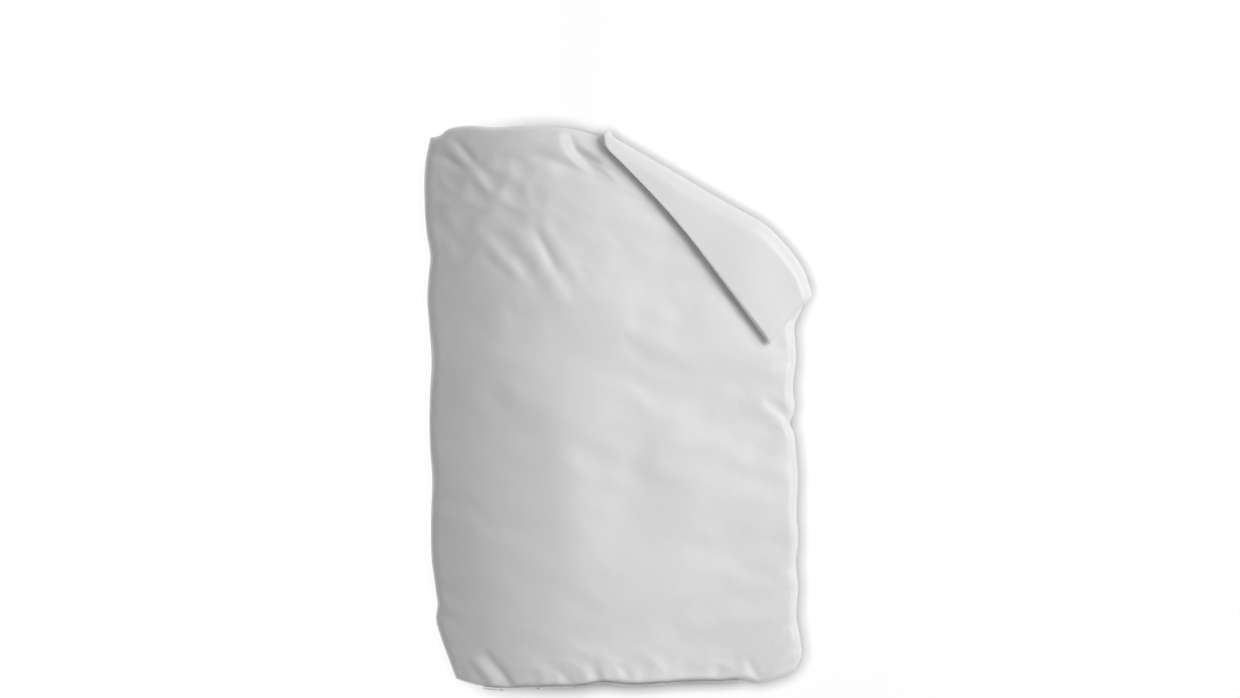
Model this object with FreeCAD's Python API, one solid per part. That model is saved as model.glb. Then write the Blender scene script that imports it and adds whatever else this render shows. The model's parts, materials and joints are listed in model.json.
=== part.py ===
import FreeCAD, Part
import math
import os

# A single duvet in its buttoned cover, lying flat with its head-right corner turned back.
# Millimetres. +Z is up, +Y points to the head end and +X to the right-hand side.
# The origin is the middle of the flat underside. Every soft layer is drawn thicker
# than real cloth, so that it is a closed solid.

# ---------------------------------------------------------------- driving dimensions
LAID_WIDTH = 1290.0
LAID_LENGTH = 1950.0
LOFT = 58.0                 # height of the duvet where it lies single
PLAN_CORNER_RADIUS = 55.0   # roundness of the four corners seen from above
EDGE_ROUND = 14.0           # roundness of the top and bottom edges

CLOTH = 1.2                 # cover cloth
TICKING = 0.8               # cotton shell of the insert
LAYER_CLEARANCE = 1.2       # air between the cover and the insert
INSERT_GAP = 22.0           # how far the insert's edge stays inside the cover's edge
SEAM_WIDTH = 10.0           # seam allowance turned inside the cover
SEAM_THICKNESS = 2.4
SEWN_CLEARANCE = 0.1        # what is sewn to a curved wall starts this far inside it
BINDING_WIDTH = 4.0         # tape that binds the insert's edge
BINDING_THICKNESS = 4.0

FILL_ROWS = 6               # box-stitched cassettes, head to foot
FILL_COLUMNS = 4            # cassettes, side to side
BAFFLE = 2.0                # thickness of the inner walls between cassettes

CREASE_START_X = -44.0      # where the crease of the turned corner leaves the head edge
CREASE_ANGLE = -32.5        # degrees, direction of the crease from +X
CREASE_CLEARANCE = 0.5      # each body stops this short of the crease
CORNER_LOFT = 44.0          # height of the turned corner, which is near two thin edges
CORNER_LIFT = 1.0           # air between the duvet's top and the corner lying on it
CORNER_EDGE_ROUND = 12.0
TURNED_HEAD_EDGE = 955.0    # length of head edge that is turned back
TURNED_SIDE_EDGE = 300.0    # length of side edge that is turned back
HEAD_EDGE_ANGLE = -52.5     # degrees, where the turned head edge points
SIDE_EDGE_ANGLE = 55.0      # degrees, where the turned side edge points from the corner
SHOULDER_ANGLE = 119.0      # degrees, from the end of the side edge back to the crease
TIP_RADIUS = 40.0           # roundness of the turned corner's point and tip
CORNER_CELLS = 3            # cassettes along the turned corner

MOUTH_WIDTH = 900.0         # the buttoned opening in the foot edge
HEM_HEIGHT = 24.0
HEM_THICKNESS = 2.0
HEM_GAP = 1.2               # room between the hems for the poppers
HEM_HINGE_CLEARANCE = 0.6
POPPER_COUNT = 7
POPPER_RADIUS = 5.0
POPPER_BASE = 0.8
STUD_RADIUS = 2.0
STUD_LENGTH = 2.2
SOCKET_CLEARANCE = 0.5
SOCKET_CAP = 0.8

LINK_BAR = 1.2              # thickness of the tape in the loops and ties
LINK_SLACK = 0.6            # free play where a tie hooks through a loop
LOOP_WIDTH = 12.0
TIE_HEIGHT = 10.0
TIE_WIDTH = 3.0
LABEL_LENGTH = 45.0
LABEL_HEIGHT = 20.0
LABEL_THICKNESS = 0.6
LABEL_FROM_FOOT = 260.0

# ---------------------------------------------------------------- sizes worked out
HALF_WIDTH = LAID_WIDTH / 2
HALF_LENGTH = LAID_LENGTH / 2
SEAM_HEIGHT = LOFT / 2
CORNER_BASE = LOFT + CORNER_LIFT
CORNER_SEAM_HEIGHT = CORNER_BASE + CORNER_LOFT / 2
INSERT_TOP = LOFT - CLOTH - LAYER_CLEARANCE
INSERT_BASE = CLOTH + LAYER_CLEARANCE
INSERT_ROUND = EDGE_ROUND - CLOTH - LAYER_CLEARANCE
LINK_ROOM = INSERT_GAP - BINDING_WIDTH - CLOTH - SEWN_CLEARANCE
LINK_LENGTH = (LINK_ROOM + 2 * LINK_BAR + LINK_SLACK) / 2   # loop and tie share the room
CREASE_START = FreeCAD.Vector(CREASE_START_X, HALF_LENGTH, 0)
FAR = 4000.0                # longer than anything here, for cutting tools


def heading(degrees):
    """Unit vector in plan that points this many degrees from +X."""
    angle = math.radians(degrees)
    return FreeCAD.Vector(math.cos(angle), math.sin(angle), 0)


ALONG_CREASE = heading(CREASE_ANGLE)
OUT_OF_CREASE = heading(CREASE_ANGLE + 90)


# ---------------------------------------------------------------- building helpers
def inset_corners(corners, distance):
    """Corners of a clockwise convex outline, each side moved inward by distance."""
    moved = []
    count = len(corners)
    for i in range(count):
        before = (corners[i] - corners[i - 1]).normalize()
        after = (corners[(i + 1) % count] - corners[i]).normalize()
        inward_before = FreeCAD.Vector(before.y, -before.x, 0)
        inward_after = FreeCAD.Vector(after.y, -after.x, 0)
        bisector = (inward_before + inward_after).normalize()
        moved.append(corners[i] + bisector * (distance / bisector.dot(inward_before)))
    return moved


def rounded_wire(corners, radii, height):
    """Closed wire through the corners at one height, with an arc at each corner."""
    edges = []
    starts = []
    ends = []
    count = len(corners)
    for i in range(count):
        back = (corners[i - 1] - corners[i]).normalize()
        onward = (corners[(i + 1) % count] - corners[i]).normalize()
        half_angle = back.getAngle(onward) / 2
        reach = radii[i] / math.tan(half_angle)
        middle_way = (back + onward).normalize()
        centre = corners[i] + middle_way * (radii[i] / math.sin(half_angle))
        starts.append(corners[i] + back * reach)
        ends.append(corners[i] + onward * reach)
        middle = centre - middle_way * radii[i]
        edges.append((starts[i], middle, ends[i]))
    pieces = []
    up = FreeCAD.Vector(0, 0, height)
    for i in range(count):
        start, middle, end = edges[i]
        pieces.append(Part.Arc(start + up, middle + up, end + up).toShape())
        pieces.append(Part.LineSegment(end + up, starts[(i + 1) % count] + up).toShape())
    return Part.Wire(pieces)


def slab(corners, radii, inset, base, top, edge_round):
    """Flat body with this outline, its top and bottom edges rounded."""
    outline = inset_corners(corners, inset)
    smaller = [radius - inset if radius > inset + 1 else 1.0 for radius in radii]
    face = Part.Face(rounded_wire(outline, smaller, base))
    body = face.extrude(FreeCAD.Vector(0, 0, top - base))
    if edge_round <= 0:
        return body
    level = [edge for edge in body.Edges
             if abs(edge.BoundBox.ZLength) < 1e-6]
    return body.makeFillet(edge_round, level)


def box(low, high):
    """Box between two opposite corners."""
    size = [b - a for a, b in zip(low, high)]
    return Part.makeBox(*size, FreeCAD.Vector(*low))


def beyond_crease(clearance):
    """Tool that holds everything outside the crease plane, less a clearance."""
    tool = Part.makeBox(2 * FAR, FAR, 2 * FAR, FreeCAD.Vector(-FAR, -clearance, -FAR))
    tool.rotate(FreeCAD.Vector(0, 0, 0), FreeCAD.Vector(0, 0, 1), CREASE_ANGLE)
    tool.translate(CREASE_START)
    return tool


BEYOND_CREASE = beyond_crease(CREASE_CLEARANCE)


def inside_crease(shape):
    """The part of a shape that lies on the duvet's side of the crease."""
    return shape.cut(BEYOND_CREASE)


def below(height):
    return box((-FAR, -FAR, -FAR), (FAR, FAR, height))


def above(height):
    return box((-FAR, -FAR, height), (FAR, FAR, FAR))


def placed(shape, origin, degrees):
    """A shape drawn along +X from zero, turned in plan and moved to its place."""
    shape.rotate(FreeCAD.Vector(0, 0, 0), FreeCAD.Vector(0, 0, 1), degrees)
    shape.translate(origin)
    return shape


def save(name, shape):
    """Write one sub-part. A shape of several pieces is a group of separate solids."""
    solids = shape.Solids
    result = solids[0] if len(solids) == 1 else Part.makeCompound(solids)
    result.exportStep(os.path.join("parts", name + ".step"))


# ---------------------------------------------------------------- outlines
BODY_CORNERS = [
    FreeCAD.Vector(-HALF_WIDTH, HALF_LENGTH, 0),
    FreeCAD.Vector(HALF_WIDTH, HALF_LENGTH, 0),
    FreeCAD.Vector(HALF_WIDTH, -HALF_LENGTH, 0),
    FreeCAD.Vector(-HALF_WIDTH, -HALF_LENGTH, 0),
]
BODY_RADII = [PLAN_CORNER_RADIUS] * 4

# The turned corner runs past the crease at both ends, and the crease cuts it off.
CORNER_START = CREASE_START + ALONG_CREASE * TIP_RADIUS / 4
CORNER_POINT = CORNER_START + heading(HEAD_EDGE_ANGLE) * TURNED_HEAD_EDGE
CORNER_TIP = CORNER_POINT + heading(SIDE_EDGE_ANGLE) * TURNED_SIDE_EDGE
OVERRUN = 300.0
CORNER_CORNERS = [
    CORNER_START - heading(HEAD_EDGE_ANGLE) * OVERRUN,
    CORNER_TIP + heading(SHOULDER_ANGLE) * OVERRUN,
    CORNER_TIP,
    CORNER_POINT,
]
CORNER_RADII = [TIP_RADIUS] * 4


# ---------------------------------------------------------------- layers
def hollow(corners, radii, base, top, edge_round, inset, wall):
    """Closed shell of one wall thickness, cut open at the crease."""
    outer = slab(corners, radii, inset, base, top, edge_round)
    inner = slab(corners, radii, inset + wall, base + wall, top - wall, edge_round - wall)
    return inside_crease(outer.cut(inner))


def save_panels(shell, seam_height, lower_name, upper_name):
    """The two panels of a shell, which meet in the seam plane."""
    save(lower_name, shell.common(below(seam_height)))
    save(upper_name, shell.common(above(seam_height)))


def edge_band(corners, radii, outer_inset, width, middle, thickness):
    """Band that follows an outline all round, up to the crease."""
    low = middle - thickness / 2
    high = middle + thickness / 2
    outer = slab(corners, radii, outer_inset, low, high, 0)
    inner = slab(corners, radii, outer_inset + width, low - 1, high + 1, 0)
    return inside_crease(outer.cut(inner))


def build_cover():
    shell = hollow(BODY_CORNERS, BODY_RADII, 0, LOFT, EDGE_ROUND, 0, CLOTH)
    save_panels(shell, SEAM_HEIGHT, "cover_under_panel", "cover_top_panel")


def seam_strip(low_x, low_y, high_x, high_y):
    half = SEAM_THICKNESS / 2
    return box((low_x, low_y, SEAM_HEIGHT - half), (high_x, high_y, SEAM_HEIGHT + half))


def build_seams():
    """Seam allowances inside the cover, straight runs between the rounded corners."""
    outer_x = HALF_WIDTH - CLOTH
    inner_x = outer_x - SEAM_WIDTH
    outer_y = HALF_LENGTH - CLOTH
    inner_y = outer_y - SEAM_WIDTH
    run_x = HALF_WIDTH - PLAN_CORNER_RADIUS
    run_y = HALF_LENGTH - PLAN_CORNER_RADIUS
    mouth = MOUTH_WIDTH / 2
    save("left_seam", seam_strip(-outer_x, -run_y, -inner_x, run_y))
    save("right_seam", inside_crease(seam_strip(inner_x, -run_y, outer_x, run_y)))
    save("head_seam", inside_crease(seam_strip(-run_x, inner_y, run_x, outer_y)))
    save("foot_seam_left", seam_strip(-run_x, -outer_y, -mouth, -inner_y))
    save("foot_seam_right", seam_strip(mouth, -outer_y, run_x, -inner_y))


def build_insert():
    shell = hollow(BODY_CORNERS, BODY_RADII, INSERT_BASE, INSERT_TOP, INSERT_ROUND,
                   INSERT_GAP, TICKING)
    save_panels(shell, SEAM_HEIGHT, "insert_under_ticking", "insert_top_ticking")
    binding = edge_band(BODY_CORNERS, BODY_RADII, INSERT_GAP - BINDING_WIDTH,
                        BINDING_WIDTH, SEAM_HEIGHT, BINDING_THICKNESS)
    save("insert_binding", binding)


def cassette_borders(half_size, count):
    """Where the walls between cassettes stand, with the two outer edges."""
    return [-half_size + 2 * half_size * i / count for i in range(count + 1)]


def between(borders, i):
    """Free span between two neighbouring walls."""
    return borders[i] + BAFFLE / 2, borders[i + 1] - BAFFLE / 2


def build_fill():
    """Cassettes of fibre fill in rows, and the walls that part them."""
    inset = INSERT_GAP + TICKING
    cavity = inside_crease(slab(BODY_CORNERS, BODY_RADII, inset, INSERT_BASE + TICKING,
                                INSERT_TOP - TICKING, INSERT_ROUND - TICKING))
    columns = cassette_borders(HALF_WIDTH - inset, FILL_COLUMNS)
    rows = cassette_borders(HALF_LENGTH - inset, FILL_ROWS)
    columns[0] -= BAFFLE
    columns[-1] += BAFFLE
    rows[0] -= BAFFLE
    rows[-1] += BAFFLE
    for row in range(FILL_ROWS):
        low_y, high_y = between(rows, row)
        cells = []
        for column in range(FILL_COLUMNS):
            low_x, high_x = between(columns, column)
            cell = cavity.common(box((low_x, low_y, 0), (high_x, high_y, LOFT)))
            cells += cell.Solids
        save("fill_row_%d" % (row + 1), Part.makeCompound(cells))
    lengthwise = []
    for wall in columns[1:-1]:
        plate = box((wall - BAFFLE / 2, -FAR, 0), (wall + BAFFLE / 2, FAR, LOFT))
        lengthwise += cavity.common(plate).Solids
    save("lengthwise_baffles", Part.makeCompound(lengthwise))
    crosswise = []
    for wall in rows[1:-1]:
        for column in range(FILL_COLUMNS):
            low_x, high_x = between(columns, column)
            plate = box((low_x, wall - BAFFLE / 2, 0), (high_x, wall + BAFFLE / 2, LOFT))
            crosswise += cavity.common(plate).Solids
    save("crosswise_baffles", Part.makeCompound(crosswise))


# ---------------------------------------------------------------- corner ties and labels
def corner_loop():
    """Flat tape ring on the insert, drawn from the binding outward along +X."""
    half = LOOP_WIDTH / 2
    ring = box((0, -half, -LINK_BAR / 2), (LINK_LENGTH, half, LINK_BAR / 2))
    hole = box((LINK_BAR, LINK_BAR - half, -LINK_BAR),
               (LINK_LENGTH - LINK_BAR, half - LINK_BAR, LINK_BAR))
    return ring.cut(hole)


def corner_tie():
    """Upright tape ring on the cover, linked through the loop, drawn inward from zero."""
    half_width = TIE_WIDTH / 2
    half_height = TIE_HEIGHT / 2
    ring = box((-LINK_LENGTH, -half_width, -half_height), (0, half_width, half_height))
    hole = box((LINK_BAR - LINK_LENGTH, -TIE_WIDTH, LINK_BAR - half_height),
               (-LINK_BAR, TIE_WIDTH, half_height - LINK_BAR))
    return ring.cut(hole)


def build_ties():
    """Loops and ties in the three corners that lie flat."""
    loops = []
    ties = []
    loop_start = PLAN_CORNER_RADIUS - INSERT_GAP + BINDING_WIDTH
    tie_start = PLAN_CORNER_RADIUS - CLOTH - SEWN_CLEARANCE
    reach_x = HALF_WIDTH - PLAN_CORNER_RADIUS
    reach_y = HALF_LENGTH - PLAN_CORNER_RADIUS
    for side_x, side_y in ((-1, 1), (-1, -1), (1, -1)):
        turn = math.degrees(math.atan2(side_y, side_x))
        centre = FreeCAD.Vector(side_x * reach_x, side_y * reach_y, SEAM_HEIGHT)
        loops.append(placed(corner_loop(), centre + heading(turn) * loop_start, turn))
        ties.append(placed(corner_tie(), centre + heading(turn) * tie_start, turn))
    save("insert_loops", Part.makeCompound(loops))
    save("cover_ties", Part.makeCompound(ties))


def build_labels():
    inset = CLOTH + SEAM_WIDTH + (INSERT_GAP - BINDING_WIDTH - CLOTH - SEAM_WIDTH) / 2
    low_x = inset - HALF_WIDTH
    low_y = LABEL_FROM_FOOT - HALF_LENGTH
    care = box((low_x, low_y, SEAM_HEIGHT - LABEL_HEIGHT / 2),
               (low_x + LABEL_THICKNESS, low_y + LABEL_LENGTH, SEAM_HEIGHT + LABEL_HEIGHT / 2))
    save("care_label", care)
    edge = INSERT_GAP + PLAN_CORNER_RADIUS
    size_label = box((edge - HALF_WIDTH, low_y, INSERT_TOP),
                     (edge - HALF_WIDTH + LABEL_HEIGHT, low_y + LABEL_LENGTH,
                      INSERT_TOP + LABEL_THICKNESS))
    save("insert_label", size_label)


# ---------------------------------------------------------------- foot closure
LOWER_HEM_FACE = -HALF_LENGTH - HEM_THICKNESS
UPPER_HEM_BACK = LOWER_HEM_FACE - HEM_GAP
UPPER_HEM_FACE = UPPER_HEM_BACK - HEM_THICKNESS
HEM_LOW = SEAM_HEIGHT - HEM_HEIGHT / 2
HEM_HIGH = SEAM_HEIGHT + HEM_HEIGHT / 2
OUTWARD = FreeCAD.Vector(0, -1, 0)


def popper_places():
    pitch = MOUTH_WIDTH / POPPER_COUNT
    return [(i - (POPPER_COUNT - 1) / 2) * pitch for i in range(POPPER_COUNT)]


def disc(x, y, radius, length):
    """Disc that stands outward from a face of the foot edge."""
    return Part.makeCylinder(radius, length, FreeCAD.Vector(x, y, SEAM_HEIGHT), OUTWARD)


def build_closure():
    mouth = MOUTH_WIDTH / 2
    lower = box((-mouth, LOWER_HEM_FACE, HEM_LOW), (mouth, -HALF_LENGTH, HEM_HIGH))
    save("lower_hem", lower)
    upper = box((-mouth, UPPER_HEM_FACE, HEM_LOW),
                (mouth, UPPER_HEM_BACK, HEM_HIGH - HEM_HINGE_CLEARANCE))
    studs = []
    sockets = []
    bore = STUD_RADIUS + SOCKET_CLEARANCE
    for x in popper_places():
        base = disc(x, LOWER_HEM_FACE, POPPER_RADIUS, POPPER_BASE)
        stem = disc(x, LOWER_HEM_FACE - POPPER_BASE, STUD_RADIUS, STUD_LENGTH)
        studs.append(base.fuse(stem))
        ring = disc(x, UPPER_HEM_BACK, POPPER_RADIUS, HEM_THICKNESS)
        upper = upper.cut(ring)
        cap = disc(x, UPPER_HEM_FACE, POPPER_RADIUS, SOCKET_CAP)
        sockets.append(ring.cut(disc(x, UPPER_HEM_BACK, bore, HEM_THICKNESS)).fuse(cap))
    save("upper_hem", upper)
    save("popper_studs", Part.makeCompound(studs))
    save("popper_sockets", Part.makeCompound(sockets))


# ---------------------------------------------------------------- turned corner
def build_turned_corner():
    """The corner lies upside down, so the cover's underside is uppermost."""
    top = CORNER_BASE + CORNER_LOFT
    shell = hollow(CORNER_CORNERS, CORNER_RADII, CORNER_BASE, top, CORNER_EDGE_ROUND, 0, CLOTH)
    save_panels(shell, CORNER_SEAM_HEIGHT, "corner_topside_panel", "corner_underside_panel")
    gap = CLOTH + LAYER_CLEARANCE
    shell = hollow(CORNER_CORNERS, CORNER_RADII, CORNER_BASE + gap, top - gap,
                   CORNER_EDGE_ROUND - gap, INSERT_GAP, TICKING)
    save_panels(shell, CORNER_SEAM_HEIGHT, "corner_topside_ticking", "corner_underside_ticking")
    binding = edge_band(CORNER_CORNERS, CORNER_RADII, INSERT_GAP - BINDING_WIDTH,
                        BINDING_WIDTH, CORNER_SEAM_HEIGHT, BINDING_THICKNESS)
    save("corner_binding", binding)


def rounding_reach(from_degrees, to_degrees):
    """How far the rounding of a turned corner's point runs along each of its two edges."""
    half_angle = heading(from_degrees).getAngle(heading(to_degrees)) / 2
    return TIP_RADIUS / math.tan(half_angle)


def turned_seam(origin, degrees, start, end):
    """Seam allowance inside the turned corner, between two places along one edge."""
    half = SEAM_THICKNESS / 2
    strip = box((start, -CLOTH - SEAM_WIDTH, CORNER_SEAM_HEIGHT - half),
                (end, -CLOTH, CORNER_SEAM_HEIGHT + half))
    return inside_crease(placed(strip, origin, degrees))


def build_turned_seams():
    """Runs drawn clockwise round the point, so the duvet lies on their right."""
    point = rounding_reach(HEAD_EDGE_ANGLE + 180, SIDE_EDGE_ANGLE)
    tip = rounding_reach(SIDE_EDGE_ANGLE + 180, SHOULDER_ANGLE)
    head = turned_seam(CORNER_POINT, HEAD_EDGE_ANGLE + 180, point, TURNED_HEAD_EDGE)
    side = turned_seam(CORNER_TIP, SIDE_EDGE_ANGLE + 180, tip, TURNED_SIDE_EDGE - point)
    save("corner_head_seam", head)
    save("corner_side_seam", side)


def build_corner_fill():
    inset = INSERT_GAP + TICKING
    gap = CLOTH + LAYER_CLEARANCE + TICKING
    cavity = inside_crease(slab(CORNER_CORNERS, CORNER_RADII, inset, CORNER_BASE + gap,
                                CORNER_BASE + CORNER_LOFT - gap, CORNER_EDGE_ROUND - gap))
    pitch = TURNED_HEAD_EDGE / CORNER_CELLS
    cells = []
    walls = []
    for i in range(CORNER_CELLS):
        start = -FAR if i == 0 else i * pitch + BAFFLE / 2
        end = FAR if i == CORNER_CELLS - 1 else (i + 1) * pitch - BAFFLE / 2
        cell = placed(box((start, -FAR, 0), (end, FAR, FAR)), CORNER_START, CREASE_ANGLE)
        cells += cavity.common(cell).Solids
        if i > 0:
            wall = box((i * pitch - BAFFLE / 2, -FAR, 0), (start, FAR, FAR))
            walls += cavity.common(placed(wall, CORNER_START, CREASE_ANGLE)).Solids
    save("corner_fill", Part.makeCompound(cells))
    save("corner_baffles", Part.makeCompound(walls))


def build_turned_tie():
    """The loop and tie of the turned corner, on the line that halves its point."""
    inward = (heading(HEAD_EDGE_ANGLE + 180) + heading(SIDE_EDGE_ANGLE)).normalize()
    half_angle = heading(HEAD_EDGE_ANGLE + 180).getAngle(heading(SIDE_EDGE_ANGLE)) / 2
    centre = CORNER_POINT + inward * (TIP_RADIUS / math.sin(half_angle))
    centre.z = CORNER_SEAM_HEIGHT
    turn = math.degrees(math.atan2(-inward.y, -inward.x))
    loop_start = TIP_RADIUS - INSERT_GAP + BINDING_WIDTH
    save("corner_loop", placed(corner_loop(), centre - inward * loop_start, turn))
    tie_start = TIP_RADIUS - CLOTH - SEWN_CLEARANCE
    save("corner_tie", placed(corner_tie(), centre - inward * tie_start, turn))


os.makedirs("parts", exist_ok=True)
build_cover()
build_seams()
build_insert()
build_fill()
build_ties()
build_labels()
build_closure()
build_turned_corner()
build_turned_seams()
build_corner_fill()
build_turned_tie()
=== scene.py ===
import json
import math

import bpy
import numpy as np
from mathutils import Matrix, Vector


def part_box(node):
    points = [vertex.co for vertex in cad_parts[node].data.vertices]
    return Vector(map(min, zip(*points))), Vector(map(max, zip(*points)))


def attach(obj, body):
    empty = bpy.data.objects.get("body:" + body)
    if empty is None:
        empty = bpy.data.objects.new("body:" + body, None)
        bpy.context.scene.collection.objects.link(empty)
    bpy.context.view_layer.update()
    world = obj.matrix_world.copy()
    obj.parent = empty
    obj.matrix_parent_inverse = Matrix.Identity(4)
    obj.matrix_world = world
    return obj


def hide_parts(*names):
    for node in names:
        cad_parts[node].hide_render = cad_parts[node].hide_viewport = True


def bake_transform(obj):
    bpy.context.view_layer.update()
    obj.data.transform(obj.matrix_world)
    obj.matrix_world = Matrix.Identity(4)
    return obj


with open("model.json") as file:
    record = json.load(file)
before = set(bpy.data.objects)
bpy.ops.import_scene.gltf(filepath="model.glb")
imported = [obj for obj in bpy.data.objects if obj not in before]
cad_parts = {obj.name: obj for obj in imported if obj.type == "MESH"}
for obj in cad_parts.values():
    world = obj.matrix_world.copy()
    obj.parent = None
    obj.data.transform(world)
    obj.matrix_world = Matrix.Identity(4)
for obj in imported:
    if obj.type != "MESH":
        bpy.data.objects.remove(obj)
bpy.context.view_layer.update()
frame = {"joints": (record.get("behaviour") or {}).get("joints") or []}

bl_info = {
    "name": "Duvet with a turned corner",
    "version": (1, 0, 0),
    "blender": (4, 5, 0),
    "location": "View3D > Sidebar > Duvet",
    "description": "Builds a filled duvet in its cover, one head corner turned back",
    "category": "Add Mesh",
}

JOINTS = {joint["name"]: joint for joint in frame["joints"]}
CREASE = JOINTS["corner_turn"]
HEM_HINGE = JOINTS["closure_lift"]
COVER_LOW, COVER_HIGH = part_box("cover_under_panel")[0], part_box("cover_top_panel")[1]
HEM_LOW, HEM_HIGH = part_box("lower_hem")
HALF_WIDTH = (COVER_HIGH.x - COVER_LOW.x) / 2
HALF_LENGTH = (COVER_HIGH.y - COVER_LOW.y) / 2
POPPER_COUNT = 7
POPPER_RADIUS = 0.005
REVERSE_DULL_AND_PAINTED_SHADE = 0.73        # brightness of the cloth's back beside its face: a little for the back's duller weave, the rest painted shade of the turned corner
STUD_LOW, STUD_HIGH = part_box("popper_studs")
STUD_PITCH = (STUD_HIGH.x - STUD_LOW.x - 2 * POPPER_RADIUS) / (POPPER_COUNT - 1)

# Lamps: the spot each one lights, where it stands, its size, and how widely its light spreads.
KEY_LAMP = {"aim": (1.09, 0.05, 0.05), "azimuth": 20, "elevation": 62, "distance": 1.1,
            "length": 4.2, "width": 2.6, "spread": 34}
SIDE_LAMP = {"aim": (0.00, 0.05, 0.05), "azimuth": 26, "elevation": 46, "distance": 5.0,
             "length": 3.6, "width": 2.2, "spread": 180}
LIT_FLOOR = (-0.65, -0.05)  # x where the key lamp's light begins on the floor, and is full
LIT_SHARE = 0.76            # how much of its own glow the floor keeps where the lamp lights it
FLOOR_SHADE = 0.45          # how much of its colour the floor throws back
SHADE_REACH = 0.05          # how far round itself the duvet dims the floor's glow, as a painted drop shadow
SHADE_UNLIT = 0.10          # how strongly it does so away from the key lamp


# ---------------------------------------------------------------- sizes and colours
class DuvetShape(bpy.types.PropertyGroup):
    loft: bpy.props.FloatProperty(
        name="Loft", description="Height of the filled duvet near its middle",
        default=COVER_HIGH.z - 0.003, unit="LENGTH")
    seam_height: bpy.props.FloatProperty(
        name="Seam height", description="Height of the edge seam above what it lies on",
        default=0.019, unit="LENGTH")
    corner_loft: bpy.props.FloatProperty(
        name="Corner loft", description="Thickness of the turned corner",
        default=0.043, unit="LENGTH")
    edge_radius: bpy.props.FloatProperty(
        name="Edge radius", description="How far in from the seam the top rounds over",
        default=0.036, unit="LENGTH")
    wrinkles: bpy.props.FloatProperty(
        name="Wrinkles", description="Strength of the folds and lumps, 1 as it lies",
        default=1.0, min=0, max=2, subtype="FACTOR")
    columns: bpy.props.IntProperty(
        name="Columns", description="Mesh columns from side to side", default=112)
    rows: bpy.props.IntProperty(
        name="Rows", description="Mesh rows from head to foot", default=160)


class DuvetCloth(bpy.types.PropertyGroup):
    cover: bpy.props.FloatVectorProperty(
        name="Cover", description="Colour of the satin cotton cover",
        default=(0.80, 0.795, 0.79), size=3, subtype="COLOR")
    ticking: bpy.props.FloatVectorProperty(
        name="Ticking", description="Colour of the insert's cotton shell",
        default=(0.80, 0.78, 0.74), size=3, subtype="COLOR")
    tape: bpy.props.FloatVectorProperty(
        name="Tape", description="Colour of binding, loops and ties",
        default=(0.78, 0.77, 0.74), size=3, subtype="COLOR")
    popper: bpy.props.FloatVectorProperty(
        name="Popper", description="Colour of the press studs",
        default=(0.80, 0.80, 0.79), size=3, subtype="COLOR")
    weave_pitch: bpy.props.FloatProperty(
        name="Weave pitch", description="Spacing of the satin's floats",
        default=0.0009, unit="LENGTH")


class DuvetStage(bpy.types.PropertyGroup):
    floor: bpy.props.FloatVectorProperty(
        name="Floor", description="Colour of the floor",
        default=(0.93, 0.93, 0.93), size=3, subtype="COLOR")
    key_power: bpy.props.FloatProperty(
        name="Key power", description="Power of the soft lamp overhead", default=14.4)
    side_power: bpy.props.FloatProperty(
        name="Side power", description="Power of the soft lamp on the right", default=62.0)
    floor_glow: bpy.props.FloatProperty(
        name="Floor glow", description="How much the floor shines by itself", default=0.93)
    sky: bpy.props.FloatProperty(
        name="Sky", description="Strength of the even light from all round", default=0.27)
    camera_height: bpy.props.FloatProperty(
        name="Camera height", description="How far above the bed the camera stands",
        default=12.0, unit="LENGTH")
    view_width: bpy.props.FloatProperty(
        name="View width", description="Width of floor that the picture takes in",
        default=4.34, unit="LENGTH")


# ---------------------------------------------------------------- shader helper
class Socket:
    """A node socket whose arithmetic adds Math nodes."""

    def __init__(self, nodes, socket):
        self.nodes = nodes
        self.socket = socket

    def math(self, operation, other=0.0):
        return self.nodes.add("ShaderNodeMath", {"operation": operation}, {0: self, 1: other})

    def __add__(self, other):
        return self.math("ADD", other)

    def __sub__(self, other):
        return self.math("SUBTRACT", other)

    def __mul__(self, other):
        return self.math("MULTIPLY", other)

    def __rsub__(self, other):
        return self.nodes.add("ShaderNodeMath", {"operation": "SUBTRACT"}, {0: other, 1: self})

    __radd__ = __add__
    __rmul__ = __mul__


class Nodes:
    """A new material's node tree."""

    def __init__(self, name):
        self.material = bpy.data.materials.new(name)
        self.material.use_nodes = True
        self.tree = self.material.node_tree
        self.shader = self.tree.nodes["Principled BSDF"]

    def add(self, kind, settings=None, inputs=None, output=0):
        node = self.tree.nodes.new(kind)
        for key, value in (settings or {}).items():
            if key == "stops":
                for stop, (place, colour) in zip(node.color_ramp.elements, value):
                    stop.position = place
                    stop.color = (*colour, 1)
            else:
                setattr(node, key, value)
        for key, value in (inputs or {}).items():
            self.join(value, node.inputs[key])
        return Socket(self, node.outputs[output])

    def join(self, value, socket):
        if isinstance(value, Socket):
            self.tree.links.new(value.socket, socket)
        else:
            socket.default_value = value

    def surface(self, **values):
        for key, value in values.items():
            self.join(value, self.shader.inputs[key.replace("_", " ")])
        return self.material

    def separate(self, vector):
        node = self.tree.nodes.new("ShaderNodeSeparateXYZ")
        self.join(vector, node.inputs[0])
        return [Socket(self, out) for out in node.outputs]

    def noise(self, vector, scale, detail=3.0):
        return self.add("ShaderNodeTexNoise", {}, {"Vector": vector, "Scale": scale, "Detail": detail})

    def mix(self, factor, first, second):
        return self.add("ShaderNodeMix", {"data_type": "RGBA"}, {0: factor, 6: first, 7: second}, 2)


def rgba(colour, shade=1.0):
    return (colour[0] * shade, colour[1] * shade, colour[2] * shade, 1)


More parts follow.
